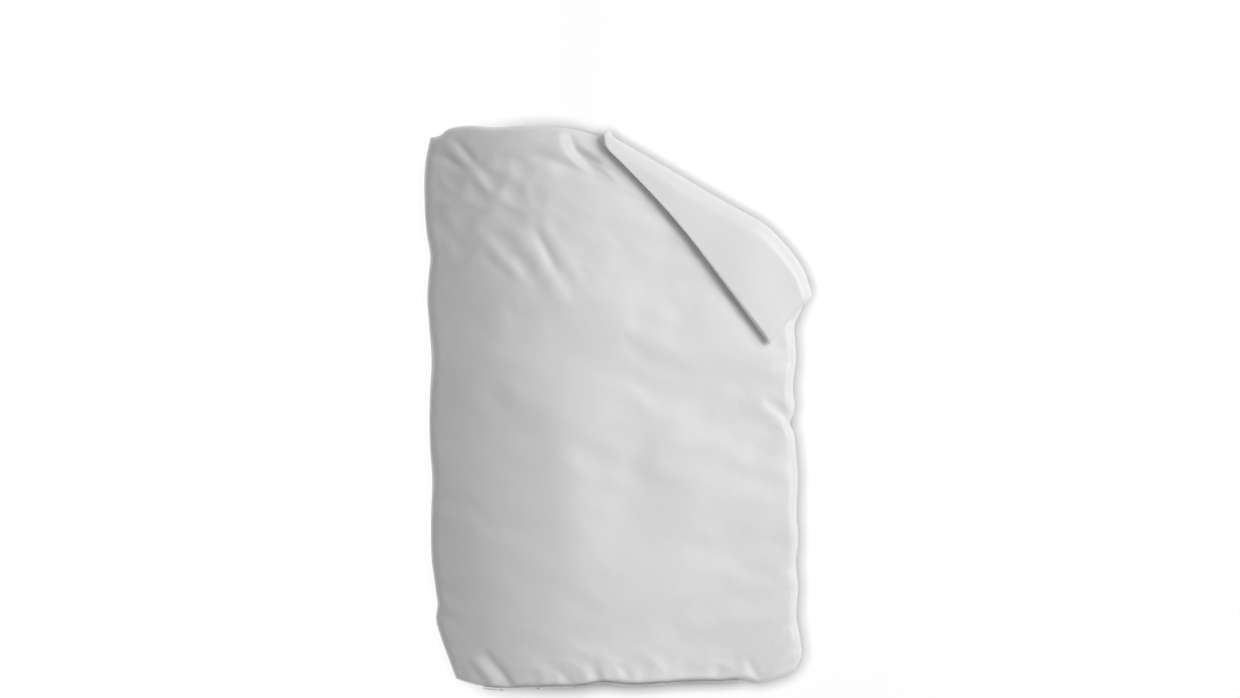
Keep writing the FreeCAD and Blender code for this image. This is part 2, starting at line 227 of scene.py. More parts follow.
def cloth_material(name, colour, pitch, coarse=False):
    """Woven cotton: fine floats along the piece's own UV, soft mottling and slubs; its back is painted
    darker, partly for its duller weave and partly as painted shade.
    """
    made = bpy.data.materials.get(name)
    if made:
        return made
    n = Nodes(name)
    uv = n.add("ShaderNodeTexCoord", output=2)
    place = n.add("ShaderNodeTexCoord", output=3)
    across, along, _ = n.separate(uv)
    turns = 2 * math.pi / pitch
    warp = (across * turns).math("SINE")
    weft = (along * turns + across * (turns / 5)).math("SINE")
    mottle = n.noise(place, 9.0, 4.0)
    slub = n.noise(place, 160.0, 2.0)
    height = warp * weft * 0.5 + slub * (1.2 if coarse else 0.8)
    bump = n.add("ShaderNodeBump", {}, {"Strength": 0.22 if coarse else 0.14,
                                        "Distance": 0.0004, "Height": height})
    shade = mottle * 0.6 + slub * 0.4
    face = n.mix(shade, rgba(colour, 0.965), rgba(colour, 1.03))
    # Painted shade: the back is a darker copy of the face, a little for its duller weave, the rest
    # standing in for the turned corner's shade.
    back = n.mix(shade, rgba(colour, 0.965 * REVERSE_DULL_AND_PAINTED_SHADE), rgba(colour, 1.03 * REVERSE_DULL_AND_PAINTED_SHADE))
    reverse = n.add("ShaderNodeAttribute", {"attribute_name": "reverse"}, output=2)
    base = n.mix(reverse, face, back)
    rough = 0.46 + mottle * 0.16
    return n.surface(Base_Color=base, Roughness=rough, Normal=bump, Sheen_Weight=0.18,
                     Sheen_Roughness=0.45, Specular_IOR_Level=0.35)


def plastic_material(name, colour):
    """Moulded plastic with a faint flow mark and handling dulling."""
    n = Nodes(name)
    place = n.add("ShaderNodeTexCoord", output=3)
    marks = n.noise(place, 700.0, 3.0)
    bump = n.add("ShaderNodeBump", {}, {"Strength": 0.1, "Distance": 0.0001, "Height": marks})
    base = n.mix(marks, rgba(colour, 0.96), rgba(colour, 1.02))
    return n.surface(Base_Color=base, Roughness=0.24 + marks * 0.12, Normal=bump)


def tape_material(context):
    cloth = context.scene.duvet_cloth
    return cloth_material("binding_tape", cloth.tape, cloth.weave_pitch * 1.4, coarse=True)


def finish(piece, material):
    piece.data.materials.clear()
    piece.data.materials.append(material)
    return piece


# ---------------------------------------------------------------- object helpers
def deselect():
    if bpy.context.object and bpy.context.object.mode != "OBJECT":
        bpy.ops.object.mode_set(mode="OBJECT")
    bpy.ops.object.select_all(action="DESELECT")


def pick(piece):
    deselect()
    piece.select_set(True)
    bpy.context.view_layer.objects.active = piece


def apply_modifier(piece, kind, **settings):
    pick(piece)
    modifier = piece.modifiers.new(kind.lower(), kind)
    for key, value in settings.items():
        setattr(modifier, key, value)
    bpy.ops.object.modifier_apply(modifier=modifier.name)


def smooth(piece):
    pick(piece)
    bpy.ops.object.shade_smooth()


def new_grid(name, columns, rows):
    """A flat grid that runs from -1 to 1 both ways."""
    deselect()
    bpy.ops.mesh.primitive_grid_add(x_subdivisions=columns, y_subdivisions=rows, size=2)
    piece = bpy.context.object
    piece.name = name
    return piece


def points_of(piece):
    """The piece's points as an array, one row each."""
    flat = np.empty(len(piece.data.vertices) * 3)
    piece.data.vertices.foreach_get("co", flat)
    return flat.reshape(-1, 3)


def set_points(piece, points):
    piece.data.vertices.foreach_set("co", points.ravel())
    piece.data.update()


def set_flat_uv(piece, flat):
    """UV map that holds each point's place on the flat cloth, in metres."""
    layer = piece.data.uv_layers.active or piece.data.uv_layers.new(name="flat_cloth")
    corners = np.empty(len(piece.data.loops), int)
    piece.data.loops.foreach_get("vertex_index", corners)
    layer.data.foreach_set("uv", flat[corners].ravel())


# ---------------------------------------------------------------- how the duvet lies
# Places in plan, in metres from the middle of the underside. The head end is +Y.
HEAD_LEFT = (-0.634, 0.936)
CREASE_HEAD = (-0.030, 0.957)
FLAT_POINT = (0.642, 0.966)
CREASE_SIDE = (0.668, 0.440)
FOOT_LEFT = (-0.545, -0.955)
FOOT_RIGHT = (0.640, -0.925)
LEFT_EDGE = [FOOT_LEFT, (-0.578, -0.866), (-0.600, -0.805), (-0.615, -0.745), (-0.610, -0.700),
             (-0.617, -0.640), (-0.630, -0.545), (-0.633, -0.400), (-0.629, -0.249), (-0.636, -0.150),
             (-0.636, 0.050), (-0.631, 0.143), (-0.641, 0.300), (-0.646, 0.370), (-0.640, 0.462),
             (-0.635, 0.516), (-0.648, 0.600), (-0.655, 0.701), (-0.650, 0.864), HEAD_LEFT]
RIGHT_EDGE = [FOOT_RIGHT, (0.661, -0.878), (0.658, -0.810), (0.646, -0.749), (0.651, -0.632),
              (0.644, -0.541), (0.651, -0.485), (0.646, -0.379), (0.650, -0.245), (0.644, -0.165),
              (0.634, -0.090), (0.620, -0.062), (0.635, -0.034), (0.633, 0.071), (0.644, 0.157),
              (0.640, 0.264), CREASE_SIDE, (0.655, 0.720), (0.646, 0.900), FLAT_POINT]
HEAD_EDGE = [HEAD_LEFT, (-0.602, 0.943), (-0.577, 0.963), (-0.511, 0.977), (-0.400, 0.972),
             (-0.322, 0.977), (-0.193, 0.974), (-0.090, 0.969), CREASE_HEAD, (0.300, 0.975),
             (0.570, 0.978), FLAT_POINT]
FOOT_EDGE = [FOOT_LEFT, (-0.502, -0.970), (-0.435, -0.984), (-0.388, -0.988), (-0.297, -0.985),
             (-0.193, -0.981), (-0.091, -0.976), (-0.040, -0.966), (0.000, -0.968), (0.052, -0.974),
             (0.137, -0.971), (0.245, -0.964), (0.378, -0.961), (0.480, -0.961), (0.513, -0.970),
             (0.560, -0.958), (0.600, -0.945), FOOT_RIGHT]

# The turned corner: where its crease and its point lie, and how far the crease bows out.
TURNED_HEAD = (-0.026, 0.955)
TURNED_SIDE = (0.710, 0.420)
TURNED_POINT = (0.548, 0.212)
CREASE_BOW = [(-0.1, -0.01), (0.0, 0.0), (0.22, 0.020), (0.44, 0.039), (0.64, 0.058), (0.745, 0.067),
              (0.80, 0.061), (0.86, 0.052), (0.92, 0.036), (0.97, 0.014), (1.0, -0.010), (1.1, -0.09)]
HEAD_EDGE_BOW = 0.034       # how far the turned head edge curves towards the crease
TURNED_SEAM_SHARE = 0.62    # height of the turned corner's seam, as a share of its loft
UNDER_ROUNDING = 0.6        # the under face rounds over in this share of the edge radius
ROLL_AT_HEAD = 0.016        # half the thickness of the roll where it leaves the head edge
ROLL_AT_SIDE = 0.036        # and where it reaches the side edge
THIN_EDGE = 0.95            # the turned corner is thinner along its free edges
THIN_REACH = 0.17
ROLL_SHARE = 0.24           # share of the flat corner that goes into the roll at the crease
DRAWN_REACH = 0.30          # how far from the crease the flat part is drawn over with it
DRAWN_BESIDE = 0.10         # and how far beside its ends, both as shares of the corner
LAYER_GAP = 0.0005          # from the parting plane to the cloth on each side of it
PARTING_SLOPE = 0.02        # rise of the parting plane away from the crease
SEAM_HALF = 0.0006          # half the thickness of the sewn edge

# The cover's cloth: its stiffness, how much it is cut larger, and how firmly it is held.
CLOTH_FRAMES = 14
CLOTH_STRETCH = 15
CLOTH_BENDING = 0.3
CLOTH_CAP = 0.010           # farthest that settling may move a point
SLACK_LEAST = 0.0012        # share by which the tightest cloth is cut larger
SLACK_MOST = 0.022          # and the loosest
HELD_FLAT = 0.07
HELD_CORNER = 0.6
HELD_SEAM = 0.8
LEFT_LOOSENESS = 0.35
CORNER_LOOSENESS = 0.12
# Loose places of the top: middle x and y, reach x and y, and how loose.
LOOSE_PLACES = [
    (-0.42, 0.78, 0.28, 0.28, 1.0),
    (-0.12, 0.88, 0.22, 0.12, 0.8),
    (-0.28, 0.50, 0.22, 0.20, 0.5),
    (0.00, -0.97, 0.70, 0.09, 0.8),
]
CROWN_HEIGHT = 0.007        # rise of the top towards its middle
CROWN_REACH = (0.7, 1.05)   # x and y where the crown has run out
FOOT_FALL = (-0.010, -0.62, 0.30)   # the filling thins at the foot: drop, start on y, reach
LEFT_FALL = (-0.008, -0.40, 0.22)   # and at the left: drop, start on x, reach
LUMP_HEIGHTS = (0.0032, 0.0011)     # coarse and fine lumps of the filling
LUMP_WIDTHS = (0.42, 0.12)
CRUMPLE_HEIGHT = 0.0048
CRUMPLE_WIDTH = 0.12
PUCKER_HEIGHT = 0.0018
PUCKER_WAVES = 9
PUCKER_SPACING = (0.035, 0.11)
PUCKER_SLANT = 18           # how far the gathers may run aslant
PUCKER_REACH = 0.055        # how far they reach in from the seam
PUCKER_SEAM = 0.012         # and from where they have their full height
CALM_START = 0.02           # the creases fade out towards the turned corner
CALM_REACH = 0.06
CEILING_SOFTNESS = 0.004    # how gently the top flattens under the turned corner
FOOT_SHARPNESS = 0.55       # the foot edge rounds over in less width than the others
INSERT_GAP = 0.022          # from the cover's edge to the insert's edge
INSERT_DEPTH = 0.012        # from the cover's face to the insert's face
CORNER_DEPTH = 0.0035       # the same in the turned corner, where the cover lies closer
QUILT_DEPTH = 0.009
QUILT_WIDTH = 0.018
CASSETTES = (4, 6)          # across and along
BINDING_HALVES = (0.0035, 0.0018)   # half the binding's width and height
TIE_INSET = 0.004           # the tie starts this far in from the cover's edge
LOOP_INSET = 0.003          # the loop starts this far out from the insert's edge
LINK_DEPTH = 0.0022         # how far tie and loop each reach past the middle
TIE_RISE = 0.0035           # how far the tie's two sides stand off its middle
LOOP_REACH = 0.0045         # half the loop's width
TIE_TAPE = (0.0015, 0.0004)         # half the tape's width and thickness
LOOP_TAPE = (0.0006, 0.0005)
CARE_LABEL = (0.0135, 0.45, (0.05, 0, 1), 0.0075)   # inset, level, way across, half width
SIZE_LABEL = (0.085, 0.97, (1, 0, 0.1), 0.010)
LABEL_HALF_THICKNESS = 0.0003
LOWER_HEM_OUT = 0.0015      # how far each hem band stands out from the foot edge
UPPER_HEM_OUT = 0.0052
HEM_TURN_IN = 0.002         # how far the upper band reaches above its hinge
HEM_THICKNESS = 0.0011

# Folds and hollows of the top: start, end, half-width and height, in metres.
TOP_FOLDS = [
    ((-0.640, 0.885), (-0.515, 0.830), 0.018, -0.011),
    ((-0.560, 0.900), (-0.450, 0.770), 0.020, 0.010),
    ((-0.530, 0.905), (-0.485, 0.850), 0.014, -0.008),
    ((-0.480, 0.850), (-0.440, 0.815), 0.016, -0.006),
    ((-0.390, 0.850), (-0.235, 0.865), 0.022, -0.007),
    ((-0.235, 0.865), (-0.040, 0.800), 0.024, -0.008),
    ((-0.380, 0.900), (-0.150, 0.905), 0.030, 0.006),
    ((-0.395, 0.815), (-0.340, 0.790), 0.020, 0.005),
    ((-0.130, 0.935), (-0.060, 0.850), 0.030, -0.026),
    ((-0.075, 0.905), (-0.010, 0.860), 0.016, -0.008),
    ((-0.020, 0.835), (0.010, 0.790), 0.010, -0.005),
    ((0.020, 0.840), (0.055, 0.785), 0.010, -0.005),
    ((0.000, 0.830), (0.030, 0.785), 0.010, 0.005),
    ((-0.330, 0.600), (-0.175, 0.380), 0.026, 0.008),
    ((-0.255, 0.590), (-0.195, 0.480), 0.014, -0.010),
    ((-0.235, 0.630), (-0.130, 0.455), 0.020, 0.005),
    ((-0.405, 0.610), (-0.250, 0.420), 0.028, -0.005),
    ((-0.460, 0.600), (-0.330, 0.440), 0.022, 0.007),
    ((-0.420, 0.500), (-0.330, 0.430), 0.014, -0.005),
    ((-0.600, 0.640), (-0.540, 0.560), 0.030, -0.006),
    ((-0.580, 0.700), (-0.560, 0.540), 0.030, 0.004),
    ((0.065, 0.040), (0.085, -0.400), 0.080, -0.006),
    ((0.060, 0.215), (0.110, 0.170), 0.030, -0.004),
    ((0.150, 0.240), (0.200, 0.200), 0.030, 0.004),
    ((-0.190, 0.020), (-0.160, -0.470), 0.080, 0.006),
    ((0.300, 0.100), (0.240, -0.400), 0.120, 0.004),
    ((-0.440, 0.060), (-0.330, -0.060), 0.050, -0.004),
    ((0.220, 0.560), (0.330, 0.500), 0.035, -0.005),
    ((0.080, 0.640), (0.200, 0.590), 0.040, 0.004),
    ((0.360, 0.420), (0.460, 0.330), 0.040, -0.006),
    ((-0.430, -0.880), (-0.340, -0.990), 0.018, -0.012),
    ((-0.470, -0.900), (-0.400, -0.990), 0.016, 0.009),
    ((-0.180, -0.930), (-0.130, -0.990), 0.016, -0.006),
    ((-0.060, -0.910), (-0.030, -0.985), 0.018, -0.008),
    ((0.040, -0.930), (0.080, -0.985), 0.016, -0.006),
    ((0.480, -0.900), (0.520, -0.980), 0.016, -0.007),
    ((0.560, 0.000), (0.640, -0.060), 0.020, -0.007),
    ((-0.640, 0.460), (-0.560, 0.470), 0.018, -0.006),
    ((-0.640, -0.720), (-0.560, -0.740), 0.018, -0.006),
]


def smooth_curve(points, places):
    """Points at places 0 to 1 along a smooth curve through the given points."""
    knots = np.array(points, float)
    steps = np.linalg.norm(np.diff(knots, axis=0), axis=1)
    along = np.concatenate(([0], np.cumsum(steps))) / steps.sum()
    slopes = np.gradient(knots, along, axis=0)
    i = np.clip(np.searchsorted(along, places, side="right") - 1, 0, len(along) - 2)
    span = along[i + 1] - along[i]
    x = ((places - along[i]) / span)[:, None]
    span = span[:, None]
    return (knots[i] * (2 * x**3 - 3 * x**2 + 1) + knots[i + 1] * (3 * x**2 - 2 * x**3)
            + slopes[i] * span * (x**3 - 2 * x**2 + x) + slopes[i + 1] * span * (x**3 - x**2))


def plan_of(s, t):
    """Plan places of the unturned duvet: s runs from left to right, t from foot to head."""
    left = smooth_curve(LEFT_EDGE, t)
    right = smooth_curve(RIGHT_EDGE, t)
    foot = smooth_curve(FOOT_EDGE, s)
    head = smooth_curve(HEAD_EDGE, s)
    s, t = s[:, None], t[:, None]
    sides = left * (1 - s) + right * s
    ends = foot * (1 - t) + head * t
    corners = (np.array(FOOT_LEFT) * (1 - s) * (1 - t) + np.array(FOOT_RIGHT) * s * (1 - t)
               + np.array(HEAD_LEFT) * (1 - s) * t + np.array(FLAT_POINT) * s * t)
    return sides + ends - corners


def ease(x):
    """Smooth step from 0 at 0 to 1 at 1."""
    x = np.clip(x, 0, 1)
    return x * x * (3 - 2 * x)


def rounding(distance, radius):
    """Quarter-circle profile: 0 at the seam, 1 one radius in from it."""
    short = 1 - np.clip(distance / radius, 0, 1)
    return np.sqrt(1 - short * short)


def edge_profile(s, t, radius, margin=0.0):
    """How full the duvet is at each place, from 0 on the edge to 1 inside."""
    width, length = 2 * HALF_WIDTH, 2 * HALF_LENGTH
    sides = rounding(s * width - margin, radius) * rounding((1 - s) * width - margin, radius)
    foot_radius = radius * FOOT_SHARPNESS
    ends = rounding(t * length - margin, foot_radius) * rounding((1 - t) * length - margin, radius)
    return sides * ends


def lumps(x, y, seed, wavelength, count=24):
    """Smooth uneven filling: a seeded sum of waves, about -1 to 1."""
    draw = np.random.default_rng(seed)
    total = np.zeros_like(x)
    for _ in range(count):
        angle = draw.uniform(0, 2 * math.pi)
        turns = 2 * math.pi / (wavelength * draw.uniform(0.7, 1.6))
        phase = draw.uniform(0, 2 * math.pi)
        total += np.sin((x * math.cos(angle) + y * math.sin(angle)) * turns + phase)
    return total / math.sqrt(count)


def fold_heights(x, y, folds):
    """Sum of long soft ridges and hollows."""
    total = np.zeros_like(x)
    for (x0, y0), (x1, y1), width, height in folds:
        dx, dy = x1 - x0, y1 - y0
        length = math.hypot(dx, dy)
        along = ((x - x0) * dx + (y - y0) * dy) / length
        across = ((y - y0) * dx - (x - x0) * dy) / length
        overshoot = np.maximum(np.maximum(-along, along - length), 0)
        waist = 1 - 0.35 * np.clip(np.abs(2 * along / length - 1), 0, 1)
        total += height * waist * np.exp(-(across / width) ** 2 - (overshoot / (1.6 * width)) ** 2)
    return total


def puckers(s, t):
    """Small gathers that the seams draw along every edge."""
    width, length = 2 * HALF_WIDTH, 2 * HALF_LENGTH
    total = np.zeros_like(s)
    edges = ((s * width, t * length, 3), (width - s * width, t * length, 4),
             (t * length, s * width, 5), (length - t * length, s * width, 6))
    for inward, along, seed in edges:
        draw = np.random.default_rng(seed)
        wave = np.zeros_like(s)
        for _ in range(PUCKER_WAVES):
            turns = 2 * math.pi / draw.uniform(*PUCKER_SPACING)
            slant = inward * draw.uniform(-PUCKER_SLANT, PUCKER_SLANT)
            wave += np.sin(along * turns + slant + draw.uniform(0, 6.3))
        near = np.exp(-(inward / PUCKER_REACH) ** 2) * np.clip(inward / PUCKER_SEAM, 0, 1)
        total += wave / 3 * near
    return total


# The crease's axis runs from the side edge to the head edge, so the corner is on its right.
CREASE_OUT = np.array([CREASE["axis"][1], -CREASE["axis"][0]])
CREASE_PLACE = np.array(CREASE["pos_m"])


def parting_height(plan):
    """Height of the plane that parts the duvet from the corner lying on it."""
    inward = (CREASE_PLACE[:2] - plan) @ CREASE_OUT
    return CREASE_PLACE[2] + PARTING_SLOPE * inward


def corner_shares(plan):
    """Where each flat place lies in the corner: its place along the crease and out from it."""
    head, side, point = np.array(CREASE_HEAD), np.array(CREASE_SIDE), np.array(FLAT_POINT)
    basis = np.column_stack((side - head, point - head))
    beta, gamma = np.linalg.solve(basis, (plan - head).T)
    crease = side - head
    projected = ((plan - head) @ crease) / (crease @ crease)
    fan = beta / np.maximum(1 - gamma, 1e-3)
    return np.where(gamma > 0, fan, projected), gamma


def quilting(s, t):
    """Depth that the cassette seams draw into the insert, 0 between them."""
    drawn = np.zeros_like(s)
    for place, count, span in ((s, CASSETTES[0], 2 * HALF_WIDTH), (t, CASSETTES[1], 2 * HALF_LENGTH)):
        for i in range(1, count):
            line = np.exp(-np.abs(place - i / count) * span / QUILT_WIDTH)
            drawn = np.maximum(drawn, line)
    return QUILT_DEPTH * drawn


def looseness(x, y):
    """How loose the top is at each place, 0 to 1."""
    loose = [strength * np.exp(-((x - cx) / rx) ** 2 - ((y - cy) / ry) ** 2)
             for cx, cy, rx, ry, strength in LOOSE_PLACES]
    return np.maximum.reduce(loose)


def lying_top(plan, s, t, parting, depth):
    """Height of the upper face where the duvet lies single, before its edges round over."""
    shape = bpy.context.scene.duvet_shape
    x, y = plan[:, 0], plan[:, 1]
    reach_x, reach_y = CROWN_REACH
    crown = CROWN_HEIGHT * (1 - (x / reach_x) ** 2) * (1 - (y / reach_y) ** 4)
    fall = np.zeros_like(x)
    for place, (drop, start, reach) in ((y, FOOT_FALL), (x, LEFT_FALL)):
        fall = fall + drop * ease((start - place) / reach)
    uneven = (LUMP_HEIGHTS[0] * lumps(x, y, 11, LUMP_WIDTHS[0])
              + LUMP_HEIGHTS[1] * lumps(x, y, 12, LUMP_WIDTHS[1]))
    crumpled = CRUMPLE_HEIGHT * (0.7 - np.abs(lumps(x, y, 13, CRUMPLE_WIDTH))) * looseness(x, y)
    creases = fold_heights(x, y, TOP_FOLDS) + PUCKER_HEIGHT * puckers(s, t) + crumpled
    creases = creases * (1 - ease((corner_shares(plan)[1] + CALM_START) / CALM_REACH))
    height = shape.loft + crown + fall + shape.wrinkles * (uneven + creases)
    ceiling = parting - LAYER_GAP
    over = np.logaddexp(0, (ceiling - height) / CEILING_SOFTNESS)
    return ceiling - CEILING_SOFTNESS * over - depth


def crease_line(share):
    """Outermost line of the roll at the crease, and the way out from it in plan."""
    head, side = np.array(TURNED_HEAD), np.array(TURNED_SIDE)
    chord = side - head
    outward = np.array([-chord[1], chord[0]]) / np.hypot(*chord)
    knots = np.array(CREASE_BOW)
    places = (share - knots[0, 0]) / (knots[-1, 0] - knots[0, 0])
    bow = smooth_curve(CREASE_BOW, np.clip(places, 0, 1))[:, 1]
    return head + share[:, None] * chord + bow[:, None] * outward, outward


def lie_down(s, t, top, depth=0.0, margin=0.0, drawn=0.0):
    """Where each point of a layer lies. s and t are its share of the cover from left to
    right and from foot to head, and top tells its upper face from its under face. depth and
    margin are how far it lies inside the cover, and drawn is how far its seams pull it in."""
    shape = bpy.context.scene.duvet_shape
    seam = shape.seam_height
    plan = plan_of(s, t)
    share, out = corner_shares(plan)
    parting = parting_height(plan)
    edge = edge_profile(s, t, shape.edge_radius * UNDER_ROUNDING)
    full_top = edge_profile(s, t, shape.edge_radius, margin)
    full_under = edge_profile(s, t, shape.edge_radius * UNDER_ROUNDING, margin)
    upper = seam + (lying_top(plan, s, t, parting, depth) - drawn - seam) * full_top
    under = seam - (seam - min(depth, CORNER_DEPTH)) * full_under
    lying = np.where(top, upper, under)

    crease, outward = crease_line(share)
    point = np.array(TURNED_POINT)
    outer = 0.5 * (parting + shape.corner_loft) * edge
    outer = outer + (ROLL_AT_HEAD + (ROLL_AT_SIDE - ROLL_AT_HEAD) * share) * (1 - edge)
    start = crease - outward * outer[:, None]
    gain = np.clip((out - ROLL_SHARE) / (1 - ROLL_SHARE), 0, 1)
    head_bow = HEAD_EDGE_BOW * 4 * gain * (1 - gain) * np.clip(1 - share, 0, 1) ** 2
    turned = start * (1 - gain)[:, None] + point * gain[:, None] + outward * head_bow[:, None]

    rest = parting_height(turned) + LAYER_GAP
    thick = shape.corner_loft + shape.wrinkles * (
        0.0020 * lumps(turned[:, 0], turned[:, 1], 21, 0.35))
    inward = ease((1 - t) * 2 * HALF_LENGTH / THIN_REACH) * ease((1 - s) * 2 * HALF_WIDTH / THIN_REACH)
    thick = thick * (THIN_EDGE + (1 - THIN_EDGE) * inward)
    edge_rise = shape.corner_loft * TURNED_SEAM_SHARE
    close = min(depth, CORNER_DEPTH)
    lower_face = rest + close + (edge_rise - close) * (1 - full_top)
    upper_face = rest + edge_rise + (thick - close - drawn * 0.5 - edge_rise) * full_under
    height_turned = np.where(top, lower_face, upper_face)

    turn = math.pi * np.clip(out / ROLL_SHARE, 0, 1)
    radius = (height_turned - lying) / 2
    rolled = start + outward * (radius * np.sin(turn))[:, None]
    rolled_height = (height_turned + lying) / 2 - radius * np.cos(turn)

    # Beside the crease the flat part is drawn over to meet the roll.
    head, side = np.array(CREASE_HEAD), np.array(CREASE_SIDE)
    flat_crease = head + share[:, None] * (side - head)
    reach = np.exp(-(np.clip(-out, 0, None) / DRAWN_REACH) ** 2)
    beside = np.exp(-(np.clip(np.maximum(-share, share - 1), 0, None) / DRAWN_BESIDE) ** 2)
    drawn_over = plan + (start - flat_crease) * (reach * beside)[:, None]

    places = np.where((out > 0)[:, None], rolled, drawn_over)
    places = np.where((out > ROLL_SHARE)[:, None], turned, places)
    heights = np.where(out > 0, rolled_height, lying)
    return np.column_stack((places, heights))


def double_sheet(name, columns, rows):
    """Two grids, one over the other, joined round their edge like a sewn cover."""
    piece = new_grid(name, columns, rows)
    bpy.ops.object.mode_set(mode="EDIT")
    bpy.ops.mesh.select_all(action="SELECT")
    bpy.ops.mesh.duplicate_move(TRANSFORM_OT_translate={"value": (0, 0, -1)})
    bpy.ops.mesh.flip_normals()
    bpy.ops.mesh.select_all(action="SELECT")
    bpy.ops.mesh.select_non_manifold(extend=False)
    bpy.ops.mesh.bridge_edge_loops()
    bpy.ops.object.mode_set(mode="OBJECT")
    return piece


def spread(unit):
    """Shares 0 to 1 with closer rows near both edges, from a grid's -1 to 1."""
    return 0.5 + 0.5 * (0.5 * unit + 0.5 * np.sin(unit * math.pi / 2))


def shell(name, columns, rows, depth=0.0, margin=0.0, quilted=False):
    """A closed soft shell that lies as the duvet does, inside the cover by depth and margin."""
    piece = double_sheet(name, columns, rows)
    grid = points_of(piece)
    top = grid[:, 2] > -0.5
    width, length = 2 * HALF_WIDTH, 2 * HALF_LENGTH
    s = spread(grid[:, 0]) * (1 - 2 * margin / width) + margin / width
    t = spread(grid[:, 1]) * (1 - 2 * margin / length) + margin / length
    set_flat_uv(piece, np.column_stack((s * width, t * length)))
    # The back of the cloth is marked here so that the material can paint it darker: partly duller
    # weave, partly painted shade.
    reverse = piece.data.attributes.new("reverse", "FLOAT", "POINT")
    reverse.data.foreach_set("value", np.where(top, 0.0, 1.0))
    points = lie_down(s, t, top, depth, margin, quilting(s, t) if quilted else 0.0)
    rim = np.maximum(np.abs(grid[:, 0]), np.abs(grid[:, 1])) > 0.9999
    points[:, 2] += np.where(rim, np.where(top, SEAM_HALF, -SEAM_HALF), 0)
    set_points(piece, points)
    return piece, s, t


def inside(s, t, level, depth=INSERT_DEPTH):
    """Places within the cover, level 0 on its under panel and 1 on its top panel."""
    s, t = np.atleast_1d(np.asarray(s, float)), np.atleast_1d(np.asarray(t, float))
    yes = np.ones(len(s), bool)
    upper = lie_down(s, t, yes, depth)
    under = lie_down(s, t, ~yes, depth)
    return under + (upper - under) * level


def corner_place(side, end, inward):
    """Half-way up inside a corner of the cover, inward from both of its edges."""
    s = side + (1 - 2 * side) * inward / (2 * HALF_WIDTH)
    t = end + (1 - 2 * end) * inward / (2 * HALF_LENGTH)
    return inside(s, t, 0.5, 0.0)[0]


def rim_places(margin, count):
    """Evenly spread places round the edge, margin in from the cover's edge."""
    width, length = 2 * HALF_WIDTH, 2 * HALF_LENGTH
    low_s, low_t = margin / width, margin / length
    walk = np.linspace(0, 2 * (width + length), count, endpoint=False)
    s = np.interp(walk, [0, width, width + length, 2 * width + length, 2 * (width + length)],
                  [low_s, 1 - low_s, 1 - low_s, low_s, low_s])
    t = np.interp(walk, [0, width, width + length, 2 * width + length, 2 * (width + length)],
                  [low_t, low_t, 1 - low_t, 1 - low_t, low_t])
    return s, t


def closed_band(name, path, half_width, half_height, sides=8):
    """A soft tape swept round a closed path, from a ring laid along it."""
    deselect()
    bpy.ops.mesh.primitive_torus_add(major_segments=len(path), minor_segments=sides,
                                     major_radius=1, minor_radius=0.1)
    piece = bpy.context.object
    piece.name = name
    along = np.roll(path, -1, axis=0) - np.roll(path, 1, axis=0)
    along /= np.linalg.norm(along, axis=1, keepdims=True)
    level = np.cross(along, (0, 0, 1))
    level /= np.linalg.norm(level, axis=1, keepdims=True)
    upright = np.cross(level, along)
    angles = np.arange(sides) * 2 * math.pi / sides
    ring = (path[:, None] + level[:, None] * (half_width * np.cos(angles))[None, :, None]
            + upright[:, None] * (half_height * np.sin(angles))[None, :, None])
    set_points(piece, ring.reshape(-1, 3))
    return outward_faces(piece)


def outward_faces(piece):
    pick(piece)
    bpy.ops.object.mode_set(mode="EDIT")
    bpy.ops.mesh.select_all(action="SELECT")
    bpy.ops.mesh.normals_make_consistent(inside=False)
    bpy.ops.object.mode_set(mode="OBJECT")
    return piece


def tape(name, path, across, half_width, half_thick, rows=24):
    """A flat tape along a smooth path; across is the way its width runs."""
    piece = new_grid(name, rows, 4)
    grid = points_of(piece)
    share = (grid[:, 0] + 1) / 2
    middle = smooth_curve(path, share)
    across = np.array(across, float) / np.linalg.norm(across)
    points = middle + across * (grid[:, 1] * half_width)[:, None]
    set_flat_uv(piece, np.column_stack((share, grid[:, 1] * half_width)))
    set_points(piece, points)
    apply_modifier(piece, "SOLIDIFY", thickness=2 * half_thick, offset=0)
    apply_modifier(piece, "BEVEL", width=half_thick * 0.7, segments=2, limit_method="ANGLE")
    smooth(piece)
    return piece


def join(name, pieces):
    deselect()
    for piece in pieces:
        piece.select_set(True)
    bpy.context.view_layer.objects.active = pieces[0]
    if len(pieces) > 1:
        bpy.ops.object.join()
    pieces[0].name = name
    return pieces[0]


def slack_at(points, on_top):
    """How loose the cover is at each place, 0 to 1: crumpled at the head and along the foot."""
    x, y = points[:, 0], points[:, 1]
    loose = np.maximum(looseness(x, y), LEFT_LOOSENESS * ease((0.1 - x) / 0.5))
    return np.where(on_top, CORNER_LOOSENESS, loose)


